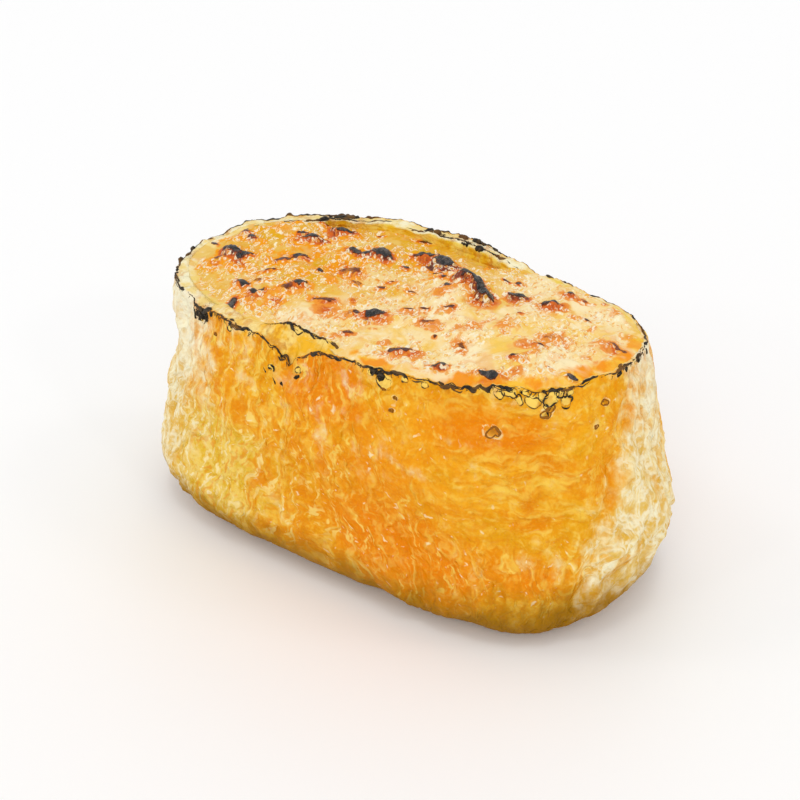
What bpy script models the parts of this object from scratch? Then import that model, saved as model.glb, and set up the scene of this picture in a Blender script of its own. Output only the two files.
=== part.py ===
"""Torched inari sushi: a fried tofu pouch, open at the top, filled up to a browned cream surface.

The pouch is a thin-walled bag that stands on its flat underside, and the filling is one solid that
takes up its inside. X runs along the pouch, Y across it and Z up, with the origin in the middle of
the underside. Lengths are in metres, angles in radians.
"""

import math

import bmesh
import bpy
import numpy as np

# The pouch over all, the highest point of its rim included.
LENGTH = 0.0652
WIDTH = 0.0350
HEIGHT = 0.0318

# The skin. The bag is rounded where its sides turn under, and its edge is thinner than its side.
WALL = 0.0020
RIM_WALL = 0.0015
FLOOR = 0.0022
BASE_ROUNDING = 0.0066
INNER_ROUNDING = 0.0045
LIP_ROUNDING = 0.0004

# The filling keeps this far from the pouch, and its edge lies this far under the rim.
FIT_GAP = 0.0003
EDGE_DROP = 0.0021
DOME_RISE = 0.0016

# The outline at five heights, as shares of the height, of the length and of the width. A squareness
# of 2 is an ellipse, and more is closer to a rectangle.
#            height, left half, right half, half width, squareness
SECTIONS = (
    (0.00, 0.452, 0.464, 0.472, 3.3),
    (0.20, 0.476, 0.490, 0.480, 3.1),
    (0.42, 0.488, 0.503, 0.478, 2.5),
    (0.70, 0.446, 0.476, 0.484, 2.35),
    (1.00, 0.446, 0.441, 0.440, 2.2),
)

# Where the soft bag bulges out of that outline or sinks in.
#            angle, height share, how far out, reach round, reach up
BULGES = (
    (-33, 0.15, -0.0007, 0.40, 0.22),
    (-5, 0.45, 0.0006, 0.40, 0.22),
    (-150, 0.15, 0.0006, 0.40, 0.22),
    (-75, 0.20, -0.0004, 0.40, 0.22),
    (-110, 0.25, 0.0006, 0.40, 0.22),
    (80, 0.95, -0.0015, 0.40, 0.22),
    (55, 0.95, -0.0015, 0.40, 0.22),
    (-97, 0.45, -0.0007, 0.16, 0.40),
    (-18, 0.72, -0.0007, 0.10, 0.25),
    (112, 0.35, 0.0008, 0.30, 0.25),
    (150, 0.60, -0.0006, 0.15, 0.30),
)

# The rim's height differs by up to a millimetre round the opening: one wave and two waves a turn.
RIM_WAVES = ((1, 0.0008, 0.0006), (2, -0.0003, -0.0003))
# Where the edge has burnt or torn away: angle, depth, reach round.
RIM_NOTCHES = ((47, 0.0011, 0.13), (-128, 0.0014, 0.15), (-62, 0.0005, 0.12), (171, 0.0006, 0.14))

# Broad swells of the cream: x and y as shares of the half length and half width, height, reach.
SWELLS = (
    (-0.62, 0.28, 0.0009, 0.0050),
    (-0.20, 0.45, 0.0007, 0.0045),
    (0.18, 0.22, 0.0010, 0.0050),
    (0.56, -0.10, 0.0006, 0.0060),
    (-0.30, -0.38, 0.0008, 0.0050),
    (0.30, -0.55, -0.0006, 0.0050),
    (-0.02, -0.05, -0.0005, 0.0040),
)

SEGMENTS = 84
ROUNDING_RINGS = 5
WALL_RINGS = 11
INNER_RINGS = 8
INNER_ROUNDING_RINGS = 3
TOP_RINGS = 9

TOFU_COLOUR = (0.83, 0.38, 0.035, 1.0)
CREAM_COLOUR = (0.86, 0.62, 0.28, 1.0)


def through_rows(levels, values, at):
    """Smooth values between the rows of a table, at the given levels."""
    levels, values = np.asarray(levels), np.asarray(values)
    at = np.clip(at, levels[0], levels[-1])
    slopes = np.gradient(values, levels)
    row = np.clip(np.searchsorted(levels, at) - 1, 0, len(levels) - 2)
    span = levels[row + 1] - levels[row]
    s = (at - levels[row]) / span
    from_start = (2 * s**3 - 3 * s**2 + 1) * values[row] + (s**3 - 2 * s**2 + s) * span * slopes[row]
    to_end = (3 * s**2 - 2 * s**3) * values[row + 1] + (s**3 - s**2) * span * slopes[row + 1]
    return from_start + to_end


def turn_between(angle, centre):
    """The signed turn from centre to angle, between half a turn back and half a turn on."""
    return (angle - centre + math.pi) % (2 * math.pi) - math.pi


def outline(angle, share, inset=0.0):
    """Points (x, y) of the outer wall at a share of the height, moved in by inset."""
    levels, left, right, half_width, square = zip(*SECTIONS)
    cos, sin = np.cos(angle), np.sin(angle)
    long_half = np.where(cos < 0, through_rows(levels, left, share), through_rows(levels, right, share))
    long_half = long_half * LENGTH
    short_half = through_rows(levels, half_width, share) * WIDTH
    power = 2 / through_rows(levels, square, share)
    x = long_half * np.sign(cos) * abs(cos) ** power
    y = short_half * np.sign(sin) * abs(sin) ** power
    out_x = np.sign(cos) * abs(cos) ** (2 - power) / long_half
    out_y = np.sign(sin) * abs(sin) ** (2 - power) / short_half
    norm = np.hypot(out_x, out_y)
    out = -inset
    for degrees, height, amount, round_reach, up_reach in BULGES:
        turn = turn_between(angle, math.radians(degrees))
        out = out + amount * np.exp(-((turn / round_reach) ** 2) - ((share - height) / up_reach) ** 2)
    return x + out * out_x / norm, y + out * out_y / norm


def whole_rim(angle):
    """The height that the pouch's edge would have round the opening with nothing torn away."""
    height = np.full_like(angle, HEIGHT - 0.0008)
    for waves, cosine, sine in RIM_WAVES:
        height += cosine * np.cos(waves * angle) + sine * np.sin(waves * angle)
    return height


def torn_rim(angle):
    """The height of the pouch's edge round the opening."""
    height = whole_rim(angle)
    for degrees, depth, reach in RIM_NOTCHES:
        height -= depth * np.exp(-((turn_between(angle, math.radians(degrees)) / reach) ** 2))
    return height


def ring(angle, z, inset):
    """One ring of points at the height z, which may differ round the ring."""
    z = np.broadcast_to(z, angle.shape)
    share = z / whole_rim(angle)
    x, y = outline(angle, np.clip(share, 0, 1), inset)
    return np.stack([x, y, z], axis=-1)


def rounded(radius, depth):
    """How far an outline is drawn in at a depth under the start of a rounding."""
    return radius - math.sqrt(max(radius**2 - depth**2, 0.0))


def outer_rings(angle, rim):
    """The outside of the pouch, from the edge of its flat underside up to the lip."""
    rings = []
    for k in range(ROUNDING_RINGS):
        turn = math.pi / 2 * k / ROUNDING_RINGS
        z = BASE_ROUNDING * (1 - math.cos(turn))
        rings.append(ring(angle, z, rounded(BASE_ROUNDING, BASE_ROUNDING - z)))
    for k in range(WALL_RINGS):
        share = k / (WALL_RINGS - 1)
        rings.append(ring(angle, BASE_ROUNDING + (rim - LIP_ROUNDING - BASE_ROUNDING) * share, 0.0))
    return rings


def lip_rings(angle, rim):
    """The rounded edge of the skin, from its outside over the top to its inside."""
    return [
        ring(angle, rim, LIP_ROUNDING),
        ring(angle, rim, RIM_WALL - LIP_ROUNDING),
        ring(angle, rim - LIP_ROUNDING, RIM_WALL),
    ]


def inner_rings(angle, top, floor, gap):
    """The pouch's inside from top down to floor, or with a gap the filling that it holds."""
    rings = []
    rounding_top = floor + INNER_ROUNDING
    for k in range(INNER_RINGS):
        share = k / (INNER_RINGS - 1)
        wall = RIM_WALL + (WALL - RIM_WALL) * min(1.0, 3 * share)
        rings.append(ring(angle, top + (rounding_top - top) * share, wall + gap))
    for k in range(1, INNER_ROUNDING_RINGS + 1):
        turn = math.pi / 2 * k / INNER_ROUNDING_RINGS
        z = rounding_top - INNER_ROUNDING * math.sin(turn)
        rings.append(ring(angle, z, WALL + gap + rounded(INNER_ROUNDING, rounding_top - z)))
    return rings


def cream_rings(edge):
    """The filling's top, from the ring where it meets the pouch in to its middle."""
    middle = edge.mean(axis=0)
    rings = []
    for k in range(1, TOP_RINGS):
        share = k / TOP_RINGS
        points = middle + (edge - middle) * (1 - share)
        points[:, 2] = middle[2] + (edge[:, 2] - middle[2]) * (1 - share) ** 2
        points[:, 2] += DOME_RISE * (1 - (1 - share) ** 2)
        for x, y, height, reach in SWELLS:
            apart = np.hypot(points[:, 0] - x * LENGTH / 2, points[:, 1] - y * WIDTH / 2)
            points[:, 2] += height * np.exp(-((apart / reach) ** 2)) * min(1.0, 3 * share)
        rings.append(points)
    return rings


def closed_solid(name, rings, colour, roughness):
    """A closed mesh object over a stack of rings, with a face across its first and its last ring."""
    bm = bmesh.new()
    loops = [[bm.verts.new(point) for point in points] for points in rings]
    for low, high in zip(loops, loops[1:]):
        for k in range(len(low)):
            after = (k + 1) % len(low)
            bm.faces.new((low[k], low[after], high[after], high[k]))
    bm.faces.new(loops[0][::-1])
    bm.faces.new(loops[-1])
    bmesh.ops.recalc_face_normals(bm, faces=bm.faces)
    bmesh.ops.triangulate(bm, faces=[face for face in bm.faces if len(face.verts) > 4])
    mesh = bpy.data.meshes.new(name)
    bm.to_mesh(mesh)
    bm.free()
    mesh.shade_smooth()
    mesh.set_sharp_from_angle(angle=math.radians(60))
    mesh.materials.append(plain_material(name, colour, roughness))
    obj = bpy.data.objects.new(name, mesh)
    bpy.context.scene.collection.objects.link(obj)
    return obj


def plain_material(name, colour, roughness):
    material = bpy.data.materials.new(name)
    material.use_nodes = True
    shader = material.node_tree.nodes["Principled BSDF"]
    shader.inputs["Base Color"].default_value = colour
    shader.inputs["Roughness"].default_value = roughness
    shader.inputs["Metallic"].default_value = 0.0
    return material


def fitted(rings, low, high):
    """The rings stretched from the box low to high onto the driving dimensions."""
    middle = (low + high) / 2
    scale = np.array([LENGTH, WIDTH, HEIGHT]) / (high - low)
    shift = np.array([middle[0], middle[1], 0.0])
    return [(points - shift) * scale for points in rings]


def build():
    for obj in list(bpy.data.objects):
        bpy.data.objects.remove(obj)
    angle = np.arange(SEGMENTS) * 2 * math.pi / SEGMENTS
    rim = torn_rim(angle)

    pouch = outer_rings(angle, rim) + lip_rings(angle, rim)
    points = np.concatenate(pouch)
    low, high = points.min(axis=0), points.max(axis=0)
    pouch += inner_rings(angle, rim - 2 * LIP_ROUNDING, FLOOR, 0.0)

    filling = inner_rings(angle, whole_rim(angle) - EDGE_DROP, FLOOR + FIT_GAP, FIT_GAP)[::-1]
    filling += cream_rings(filling[-1])

    closed_solid("pouch", fitted(pouch, low, high), TOFU_COLOUR, 0.35)
    closed_solid("filling", fitted(filling, low, high), CREAM_COLOUR, 0.4)


build()
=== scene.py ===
import math

import bmesh
import bpy
import numpy as np
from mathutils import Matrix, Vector


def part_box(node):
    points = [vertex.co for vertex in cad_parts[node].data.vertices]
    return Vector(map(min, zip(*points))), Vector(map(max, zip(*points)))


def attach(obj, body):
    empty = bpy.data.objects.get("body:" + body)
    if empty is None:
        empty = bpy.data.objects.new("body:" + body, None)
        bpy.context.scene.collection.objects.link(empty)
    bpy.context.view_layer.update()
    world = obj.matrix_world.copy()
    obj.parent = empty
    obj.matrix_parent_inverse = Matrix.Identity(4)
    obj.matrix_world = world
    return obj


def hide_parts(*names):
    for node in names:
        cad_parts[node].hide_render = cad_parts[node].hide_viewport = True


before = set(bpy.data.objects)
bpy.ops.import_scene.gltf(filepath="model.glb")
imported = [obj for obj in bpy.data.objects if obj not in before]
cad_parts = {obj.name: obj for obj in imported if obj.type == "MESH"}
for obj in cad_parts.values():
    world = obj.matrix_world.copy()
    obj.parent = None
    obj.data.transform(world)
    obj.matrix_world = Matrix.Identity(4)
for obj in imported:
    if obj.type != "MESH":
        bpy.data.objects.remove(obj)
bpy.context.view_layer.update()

POUCH_LOW, POUCH_HIGH = (np.array(corner) * 1000 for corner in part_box("pouch"))

# Everything is worked out in millimetres and written to the meshes in metres.
MM = 0.001

# The pouch's outline, as the CAD has it.
LENGTH, WIDTH, HEIGHT = 65.2, 35.0, 31.8
BASE_ROUNDING = 6.6
EDGE_THICK = 1.9
WALL_THICK = 2.1
FLOOR_THICK = 2.2
#            height, left half, right half, half width, squareness
SECTIONS = (
    (0.00, 0.452, 0.464, 0.472, 3.3),
    (0.20, 0.476, 0.490, 0.480, 3.1),
    (0.42, 0.488, 0.503, 0.478, 2.5),
    (0.70, 0.446, 0.476, 0.484, 2.35),
    (1.00, 0.446, 0.441, 0.440, 2.2),
)
#            angle, height share, how far out, reach round, reach up
BULGES = (
    (-33, 0.15, -0.7, 0.40, 0.22),
    (-5, 0.45, 0.6, 0.40, 0.22),
    (-150, 0.15, 0.6, 0.40, 0.22),
    (-75, 0.20, -0.4, 0.40, 0.22),
    (-110, 0.25, 0.6, 0.40, 0.22),
    (80, 0.95, -1.5, 0.40, 0.22),
    (55, 0.95, -1.5, 0.40, 0.22),
    (-97, 0.45, -0.7, 0.16, 0.40),
    (-18, 0.72, -0.7, 0.10, 0.25),
    (112, 0.35, 0.8, 0.30, 0.25),
    (150, 0.60, -0.6, 0.15, 0.30),
)
RIM_WAVES = ((1, 0.8, 0.6), (2, -0.3, -0.3))

COLUMNS = 760
# The row of the skin's points that is the top of its outer lip.
LIP_ROW = 90


# ---------------------------------------------------------------- noise


def lattice(ix, iy, iz, seed):
    """A random number from 0 to 1 for each point of a whole-number lattice."""
    h = (ix * 374761393 + iy * 668265263 + iz * 1103515245 + seed * 974634777) & 0xFFFFFFFF
    h = ((h ^ (h >> 13)) * 1274126177) & 0xFFFFFFFF
    h = ((h ^ (h >> 16)) * 2246822519) & 0xFFFFFFFF
    return ((h >> 8) & 0xFFFF) / 65535.0


def noise(points, seed=0):
    """Smooth noise from -1 to 1 at the given points, with features one unit across."""
    cell = np.floor(points).astype(np.int64)
    t = points - cell
    t = t * t * t * (t * (t * 6 - 15) + 10)
    total = 0.0
    for dx in (0, 1):
        for dy in (0, 1):
            for dz in (0, 1):
                weight = (
                    (t[..., 0] if dx else 1 - t[..., 0])
                    * (t[..., 1] if dy else 1 - t[..., 1])
                    * (t[..., 2] if dz else 1 - t[..., 2])
                )
                total = total + weight * lattice(
                    cell[..., 0] + dx, cell[..., 1] + dy, cell[..., 2] + dz, seed
                )
    return total * 2 - 1


def fractal(points, octaves=3, seed=0, gain=0.5):
    total, weight, amount = 0.0, 0.0, 1.0
    for k in range(octaves):
        total = total + amount * noise(points * 2.03**k + 17.3 * k, seed + k)
        weight += amount
        amount *= gain
    return total / weight * 1.6


def step(value, low, high):
    """0 below low, 1 above high and a smooth rise between."""
    t = np.clip((value - low) / (high - low), 0, 1)
    return t * t * (3 - 2 * t)


# ---------------------------------------------------------------- outline


def through_rows(levels, values, at):
    levels, values = np.asarray(levels), np.asarray(values)
    at = np.clip(at, levels[0], levels[-1])
    slopes = np.gradient(values, levels)
    row = np.clip(np.searchsorted(levels, at) - 1, 0, len(levels) - 2)
    span = levels[row + 1] - levels[row]
    s = (at - levels[row]) / span
    from_start = (2 * s**3 - 3 * s**2 + 1) * values[row] + (s**3 - 2 * s**2 + s) * span * slopes[row]
    to_end = (3 * s**2 - 2 * s**3) * values[row + 1] + (s**3 - s**2) * span * slopes[row + 1]
    return from_start + to_end


def turn_between(angle, centre):
    return (angle - centre + math.pi) % (2 * math.pi) - math.pi


def near(angle, degrees, reach):
    """1 at an angle in degrees, falling off round it over the reach in degrees."""
    return np.exp(-((turn_between(angle, math.radians(degrees)) / math.radians(reach)) ** 2))


def outline(angle, share, inset=0.0):
    """Points (x, y) of the outer wall at a share of the height, moved in by inset, and outwards."""
    levels, left, right, half_width, square = zip(*SECTIONS)
    cos, sin = np.cos(angle), np.sin(angle)
    cos = np.where(abs(cos) < 1e-6, 1e-6, cos)
    sin = np.where(abs(sin) < 1e-6, 1e-6, sin)
    long_half = np.where(cos < 0, through_rows(levels, left, share), through_rows(levels, right, share))
    long_half = long_half * LENGTH
    short_half = through_rows(levels, half_width, share) * WIDTH
    power = 2 / through_rows(levels, square, share)
    x = long_half * np.sign(cos) * abs(cos) ** power
    y = short_half * np.sign(sin) * abs(sin) ** power
    out_x = np.sign(cos) * abs(cos) ** (2 - power) / long_half
    out_y = np.sign(sin) * abs(sin) ** (2 - power) / short_half
    norm = np.hypot(out_x, out_y)
    out = -inset
    for degrees, height, amount, round_reach, up_reach in BULGES:
        turn = turn_between(angle, math.radians(degrees))
        out = out + amount * np.exp(-((turn / round_reach) ** 2) - ((share - height) / up_reach) ** 2)
    out_x, out_y = out_x / norm, out_y / norm
    return x + out * out_x, y + out * out_y, out_x, out_y


def whole_rim(angle):
    height = np.full_like(angle, HEIGHT - 0.8)
    for waves, cosine, sine in RIM_WAVES:
        height = height + cosine * np.cos(waves * angle) + sine * np.sin(waves * angle)
    return height


def even_angles(count, share):
    """Angles whose points lie evenly spaced round the outline."""
    fine = np.linspace(-math.pi, math.pi, 20001)
    x, y, _, _ = outline(fine, share)
    run = np.concatenate([[0], np.cumsum(np.hypot(np.diff(x), np.diff(y)))])
    return np.interp(np.arange(count) / count * run[-1], run, fine), run[-1]


def to_cad(points):
    """The outline's own millimetres stretched onto the CAD's box."""
    share = np.linspace(0, 1, 60)[:, None]
    x, y, _, _ = outline(np.linspace(-math.pi, math.pi, 721)[None, :], share)
    low = np.array([x.min(), y.min(), 0.0])
    high = np.array([x.max(), y.max(), HEIGHT])
    middle = (low + high) / 2
    scale = (POUCH_HIGH - POUCH_LOW) / (high - low)
    target = (POUCH_HIGH + POUCH_LOW) / 2
    out = (points - middle) * scale + target
    return out


# ---------------------------------------------------------------- meshes


def mesh_from(name, points, faces, attributes=None, vectors=None):
    """A smooth mesh object from points in millimetres."""
    mesh = bpy.data.meshes.new(name)
    mesh.from_pydata((points * MM).tolist(), [], faces)
    for key, values in (attributes or {}).items():
        layer = mesh.attributes.new(key, "FLOAT", "POINT")
        layer.data.foreach_set("value", np.asarray(values, dtype=np.float32).ravel())
    for key, values in (vectors or {}).items():
        layer = mesh.attributes.new(key, "FLOAT_VECTOR", "POINT")
        layer.data.foreach_set("vector", np.asarray(values, dtype=np.float32).ravel())
    mesh.shade_smooth()
    mesh.validate()
    obj = bpy.data.objects.new(name, mesh)
    bpy.context.scene.collection.objects.link(obj)
    return obj


def grid_faces(rows, columns):
    """Quads between rows of points that go all the way round."""
    here = np.arange(rows - 1)[:, None] * columns + np.arange(columns)[None, :]
    after = np.arange(rows - 1)[:, None] * columns + (np.arange(columns)[None, :] + 1) % columns
    quads = np.stack([here, after, after + columns, here + columns], axis=-1)
    return quads.reshape(-1, 4).tolist()


# ---------------------------------------------------------------- materials


class Look:
    """A node material, and short names for the nodes that it is made of."""

    def __init__(self, name):
        self.material = bpy.data.materials.new(name)
        self.material.use_nodes = True
        self.tree = self.material.node_tree
        self.shader = self.tree.nodes["Principled BSDF"]

    def node(self, kind, inputs, out=0, **settings):
        made = self.tree.nodes.new(kind)
        for key, value in settings.items():
            setattr(made, key, value)
        for key, value in inputs.items():
            if isinstance(value, bpy.types.NodeSocket):
                self.tree.links.new(value, made.inputs[key])
            else:
                made.inputs[key].default_value = value
        return made.outputs[out]

    def set(self, **inputs):
        for key, value in inputs.items():
            socket = self.shader.inputs[key.replace("_", " ")]
            if isinstance(value, bpy.types.NodeSocket):
                self.tree.links.new(value, socket)
            else:
                socket.default_value = value

    def number(self, name):
        return self.node("ShaderNodeAttribute", {}, out=2, attribute_name=name)

    def vector(self, name):
        return self.node("ShaderNodeAttribute", {}, out=1, attribute_name=name)

    def math(self, operation, a, b=0.0, clamp=False):
        return self.node("ShaderNodeMath", {0: a, 1: b}, operation=operation, use_clamp=clamp)

    def times(self, a, b):
        return self.math("MULTIPLY", a, b)

    def plus(self, a, b, clamp=False):
        return self.math("ADD", a, b, clamp)

    def rise(self, value, low, high, start=0.0, end=1.0):
        return self.node(
            "ShaderNodeMapRange", {0: value, 1: low, 2: high, 3: start, 4: end},
            interpolation_type="SMOOTHSTEP",
        )

    def scaled(self, vector, scale):
        return self.node("ShaderNodeVectorMath", {0: vector, 1: scale}, operation="MULTIPLY")

    def moved(self, vector, by, amount):
        centred = self.node("ShaderNodeVectorMath", {0: by, 1: (0.5, 0.5, 0.5)}, operation="SUBTRACT")
        grown = self.scaled(centred, (amount, amount, amount))
        return self.node("ShaderNodeVectorMath", {0: vector, 1: grown}, operation="ADD")

    def noise(self, vector, scale, detail=2.0, roughness=0.5, distortion=0.0, colour=False):
        return self.node(
            "ShaderNodeTexNoise",
            {"Vector": vector, "Scale": scale, "Detail": detail, "Roughness": roughness,
             "Distortion": distortion},
            out=1 if colour else 0,
        )

    def cells(self, vector, scale, feature="DISTANCE_TO_EDGE", randomness=1.0):
        return self.node(
            "ShaderNodeTexVoronoi", {"Vector": vector, "Scale": scale, "Randomness": randomness},
            feature=feature,
        )

    def mix(self, share, a, b):
        return self.node("ShaderNodeMix", {0: share, 6: a, 7: b}, out=2, data_type="RGBA")

    def blend(self, share, a, b):
        return self.node("ShaderNodeMix", {0: share, 2: a, 3: b}, data_type="FLOAT")

    def sides(self, vector, scale, step_by):
        """How much noise rises over a small step: above zero on one side of each fold, below on the other. The looks
        use it to paint a highlight on one side and shade on the other.
        """
        on = self.node("ShaderNodeVectorMath", {0: vector, 1: step_by}, operation="ADD")
        return self.math("SUBTRACT", self.noise(vector, scale), self.noise(on, scale))

    def bump(self, height, strength, distance_mm):
        normal = self.node(
            "ShaderNodeBump",
            {"Height": height, "Strength": strength, "Distance": distance_mm * MM},
        )
        self.set(Normal=normal, Coat_Normal=normal)


def rgb(red, green, blue):
    return (red, green, blue, 1.0)


# ---------------------------------------------------------------- the pouch

# Where the outer layer of the edge is torn or burnt down: angle, depth, reach in degrees.
TEARS = (
    (-95.5, 2.1, 4.2),
    (-128, 0.9, 5.0),
    (-62, 0.5, 6.0),
    (47, 0.25, 7.0),
    (67, 0.8, 5.0),
    (171, 0.6, 6.0),
    (-35, 0.5, 9.0),
    (20, 0.5, 8.0),
)
# Where the edge is burnt: angle, how much, reach in degrees.
BURNS = (
    (125, 1.1, 7), (139, 0.7, 8), (112, 0.7, 6), (84, 1.0, 7), (97, 0.5, 6), (60, 0.4, 7),
    (172, 0.7, 9), (156, 0.5, 8), (-170, 0.8, 7), (-150, 0.6, 8), (-127, 1.3, 6), (-112, 0.9, 6),
    (-99, 0.7, 6), (-88, 0.5, 4), (-79, 0.9, 3.5), (-74, 0.7, 3), (-61, 1.1, 5), (-52, 1.1, 5),
    (-35, 0.8, 4.5), (-28, 0.6, 3), (-8, 1.0, 4.5), (6, 0.6, 6), (22, 0.5, 8), (42, 0.6, 6),
)
# Bubbles that the torch raised under the edge: angle, mm below the edge, radius in mm.
EDGE_BUBBLES = (
    (-48.2, 0.7, 0.42), (-45.6, 0.5, 0.66), (-43.4, 1.2, 0.38), (-41.9, 0.3, 0.30),
    (-40.2, 0.9, 0.72), (-37.6, 0.5, 0.48), (-36.2, 1.5, 0.34), (-34.4, 0.8, 0.80),
    (-32.0, 0.4, 0.36), (-30.6, 1.2, 0.52), (-29.0, 0.5, 0.40), (-36.9, 2.2, 0.28),
    (-74.6, 0.9, 0.78), (-77.9, 0.4, 0.36), (-66.0, 0.5, 0.34), (-70.4, 0.4, 0.30),
    (-92.8, 1.5, 0.36), (-98.6, 2.2, 0.34), (-126.5, 0.9, 0.55), (-112.0, 0.6, 0.36),
    (24.0, 0.7, 0.50), (60.0, 0.6, 0.45), (96.0, 0.7, 0.50), (130.0, 0.6, 0.45),
    (118.0, 1.0, 0.60), (-160.0, 0.8, 0.50), (-172.0, 0.7, 0.45), (150.0, 0.7, 0.50),
)
# Popped bubbles lower on the skin: angle, height, radius.
POCKS = (
    (-50.5, 26.6, 0.68), (-36.6, 28.7, 0.50), (-35.2, 29.2, 0.42), (-16.0, 28.5, 0.42),
    (-75.0, 29.0, 0.22), (-72.6, 28.3, 0.20), (-73.3, 27.0, 0.22), (-20.5, 26.4, 0.25),
    (64.0, 25.0, 0.60), (103.0, 22.0, 0.50), (140.0, 26.5, 0.45), (-118.0, 27.5, 0.20),
)


# Black spots of burnt skin under the edge: angle, mm below the edge, radius.
CHAR_SPOTS = (
    (-127.5, 0.5, 0.95), (-124.5, 0.7, 0.75), (-130.5, 1.0, 0.60), (-121.5, 0.4, 0.45),
    (-100.3, 2.9, 0.22), (-98.0, 3.4, 0.20), (-96.0, 3.0, 0.24), (-93.0, 2.2, 0.22),
    (-75.6, 0.5, 0.45), (-77.2, 0.2, 0.35), (-9.5, 0.3, 0.50), (-5.5, 0.4, 0.35),
    (125.0, 0.1, 0.80), (86.0, 0.2, 0.60), (82.0, 0.5, 0.50), (-168.0, 0.3, 0.60),
    (-151.0, 0.3, 0.60), (1.0, 0.3, 0.35), (9.0, 0.5, 0.40), (44.0, 0.3, 0.50),
)
# Where burnt hairs of skin hang from the edge: from angle, to angle, how many, length in mm.
HAIRS = (
    (-121, -104, 22, 0.55), (-101, -92, 6, 0.7), (-92, -70, 16, 0.35), (-64, -47, 14, 0.40),
    (-47, -27, 12, 0.6), (-13, 12, 14, 0.4), (20, 60, 12, 0.5), (76, 125, 26, 0.6), (140, 200, 26, 0.5),
    (-160, -130, 12, 0.5),
)


# Thick crusts on the edge: where they begin, length in mm, mm in from the outer corner, radius.
CRUSTS = (
    (119.5, 2.4, 0.35, 0.36), (122.5, 1.8, 0.15, 0.36), (124.0, 1.4, 0.70, 0.34), (81.0, 2.0, 0.20, 0.22),
    (86.5, 1.6, 0.40, 0.24), (92.0, 1.4, 0.10, 0.18), (88.5, 1.6, 1.75, 0.44), (84.5, 1.6, 1.7, 0.34),
    (120.0, 2.6, 0.60, 0.46), (123.5, 2.2, 0.25, 0.48), (126.5, 2.0, 0.95, 0.40), (113.0, 1.8, 1.38, 0.24),
    (94.0, 2.2, 1.20, 0.42), (86.0, 2.4, 0.5, 0.38), (90.0, 1.8, 0.7, 0.36), (132.0, 1.6, 1.4, 0.18),
    (147.0, 1.8, 0.05, 0.22), (64.0, 1.4, 0.0, 0.18), (97.5, 1.6, 1.0, 0.32), (126.0, 2.0, 0.0, 0.22),
    (-175.0, 2.0, 0.0, 0.26), (-164.0, 1.8, 0.0, 0.26), (-158.0, 1.4, 0.1, 0.22), (-142.0, 1.6, 0.0, 0.24), (79.0, 1.4, 1.4, 0.22), (128.5, 2.4, 1.35, 0.34), (109.0, 2.6, 1.40, 0.17), (114.5, 2.6, 1.35, 0.22), (141.0, 1.6, 0.0, 0.24), (57.0, 1.2, 0.15, 0.16), (-171.0, 1.8, 0.10, 0.20),
    (-153.0, 1.6, 0.05, 0.22), (-131.0, 1.6, 0.10, 0.20), (-126.0, 1.6, 0.15, 0.26), (-117.0, 1.3, 0.05, 0.15),
    (-91.0, 1.3, 0.05, 0.17), (-86.5, 1.8, 0.00, 0.16), (-79.5, 1.6, 0.00, 0.20), (-76.0, 1.2, 0.10, 0.18),
    (-62.5, 1.7, 0.00, 0.18), (-57.5, 1.5, -0.05, 0.22), (-53.0, 1.4, 0.00, 0.20), (-47.5, 1.2, 0.00, 0.17),
    (-36.0, 1.2, 0.05, 0.16), (-11.0, 1.8, 0.00, 0.19), (0.0, 1.6, 0.05, 0.16), (10.0, 1.4, 0.10, 0.15),
    (-98.5, 1.2, 1.40, 0.20), (-95.0, 1.4, 1.42, 0.14), (135.0, 1.5, 0.10, 0.16), (150.0, 1.3, 0.10, 0.14),
)


def covered_share(angle):
    """Where the cream reaches over the edge: from the near side's tear round the right end, half way on the left."""
    degrees = np.degrees(turn_between(angle, 0.0))
    return step(degrees, -90, -84) * step(-degrees, -78, -71) + 0.55 * near(angle, 180, 34)


def glazed_share(angle):
    """Where an orange glaze lies along the edge: on the near side, right of its tear."""
    degrees = np.degrees(turn_between(angle, 0.0))
    return step(degrees, -90, -84) * step(-degrees, -30, 0)


def edge_lines(angle, on_ring, arc):
    """The heights of the skin's outer and inner layer round the opening."""
    rim = whole_rim(angle)
    scallop = 0.13 * fractal(on_ring * 0.9, 3, 11) + 0.08 * fractal(on_ring * 0.25, 2, 12)
    swag = abs(np.sin(math.pi * arc / 1.45 + 0.9 * fractal(on_ring * 0.5, 2, 15)))
    scallop -= 0.42 * swag * (near(angle, -56, 9) + 0.35 * near(angle, -82, 9) + 0.3 * near(angle, 100, 40))
    torn = sum(depth * near(angle, degrees, reach) for degrees, depth, reach in TEARS)
    jag = 1 + 0.25 * fractal(on_ring * 1.3, 2, 13)
    outer = rim - 0.15 + scallop - torn * jag
    inner = rim + 0.10 + 0.18 * fractal(on_ring * 0.6, 3, 14) - 0.5 * torn
    inner += 0.30 * fractal(on_ring * 0.22, 2, 16) * near(angle, 125, 55)
    outer += 0.35 * fractal(on_ring * 0.30, 2, 17) * near(angle, 125, 55)
    inner += 1.9 * near(angle, -96.5, 4.5) + 0.3 * near(angle, -90, 4) + 0.45 * near(angle, 124, 3)
    covered = covered_share(angle)
    return outer, inner * (1 - covered) + (outer - 0.55) * covered


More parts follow.
